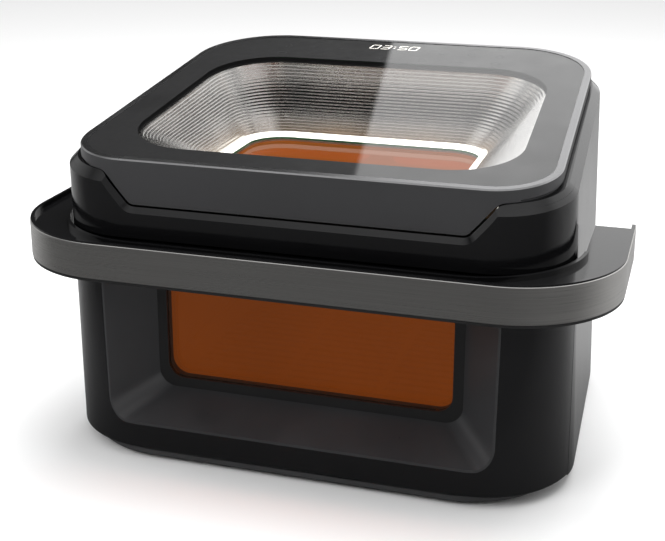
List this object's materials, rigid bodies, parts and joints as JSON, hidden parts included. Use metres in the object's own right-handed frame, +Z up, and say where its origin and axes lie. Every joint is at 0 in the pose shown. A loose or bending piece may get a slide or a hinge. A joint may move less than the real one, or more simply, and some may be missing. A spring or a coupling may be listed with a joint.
{
  "type": "countertop air fryer",
  "caption": "Wedge-shaped countertop air fryer with a glass top over a ribbed reflector and lamp ring, a wide window drawer, and a steel-banded handle round three sides.",
  "frame": {"origin": "on the resting surface, under the middle of the outer box", "axes": "+X to the user's right along the handle's front, +Y to the rear, +Z up"},
  "size_m": [0.432, 0.352, 0.264],
  "materials": {
    "gloss_black": "high gloss moulded black",
    "satin_grey": "satin dark grey paint with a bright edge",
    "base_grey": "fine moulded texture",
    "black_plastic": "matte moulded black",
    "recess_grey": "satin moulded dark grey",
    "dark_steel": "horizontally brushed dark steel",
    "bright_steel": "bright drawn sheet",
    "chamber_steel": "plain sheet steel",
    "top_glass": "tempered, printed black border",
    "clear_glass": "clear tempered",
    "amber_glass": "amber tinted heat glass",
    "lamp_white": "lit diffuser",
    "board_green": "circuit board",
    "rubber": "moulded rubber",
    "silicone": "silicone",
    "pan_coating": "non-stick coating",
    "heater": "oxidised heater sheath",
    "zinc": "zinc plated",
    "aluminium": "cast"
  },
  "bodies": {
    "root": {"main_shell": "gloss_black", "base_tray": "base_grey", "rubber_feet": "rubber", "base_screws": "zinc", "rear_cover": "black_plastic", "rear_cover_screws": "zinc", "rear_spacers": "rubber", "cord_inlet": "black_plastic", "top_frame": "satin_grey", "top_glass": "top_glass", "glass_carrier": "black_plastic", "touch_board": "board_green", "display_module": "black_plastic", "reflector_funnel": "bright_steel", "light_ring": "lamp_white", "led_board": "board_green", "glass_retainer": "chamber_steel", "inner_glass": "amber_glass", "inner_glass_seal": "silicone", "retainer_spacers": "zinc", "retainer_screws": "zinc", "chamber_liner": "chamber_steel", "heating_element": "heater", "heater_terminals": "zinc", "heater_clips": "chamber_steel", "temperature_probe": "chamber_steel", "thermal_fuse": "black_plastic", "fan_guard": "chamber_steel", "fan_shroud": "chamber_steel", "motor_bracket": "zinc", "motor_screws": "zinc", "fan_motor": "chamber_steel", "board_bracket": "zinc", "power_board": "board_green", "left_rail": "zinc", "right_rail": "zinc", "drawer_switch": "black_plastic"},
    "fan": {"fan_impeller": "aluminium", "motor_shaft": "zinc", "cooling_fan": "black_plastic"},
    "drawer": {"drawer_front": "gloss_black", "recess_bezel": "recess_grey", "window_ring": "black_plastic", "outer_pane": "clear_glass", "pane_spacer": "silicone", "inner_pane": "clear_glass", "drawer_panel": "chamber_steel", "panel_screws": "zinc", "drawer_gasket": "silicone", "drawer_pan": "pan_coating", "left_runner": "zinc", "right_runner": "zinc", "sensor_magnet": "black_plastic", "handle_tray": "gloss_black", "handle_band": "dark_steel", "handle_cover": "black_plastic", "handle_screws": "zinc", "handle_bridge": "black_plastic"},
    "plate": {"crisper_plate": "pan_coating", "plate_pads": "silicone"}
  },
  "joints": [
    {"name": "drawer_slide", "type": "slide", "parent": "root", "child": "drawer", "axis": [0, -1, 0], "range_m": [0, 0.2]},
    {"name": "fan_spin", "type": "hinge", "parent": "root", "child": "fan", "pos_m": [0, 0.12, 0.105], "axis": [0, 1, 0], "continuous": true},
    {"name": "plate_lift", "type": "slide", "parent": "drawer", "child": "plate", "axis": [0, 0, 1], "range_m": [0, 0.08]}
  ]
}
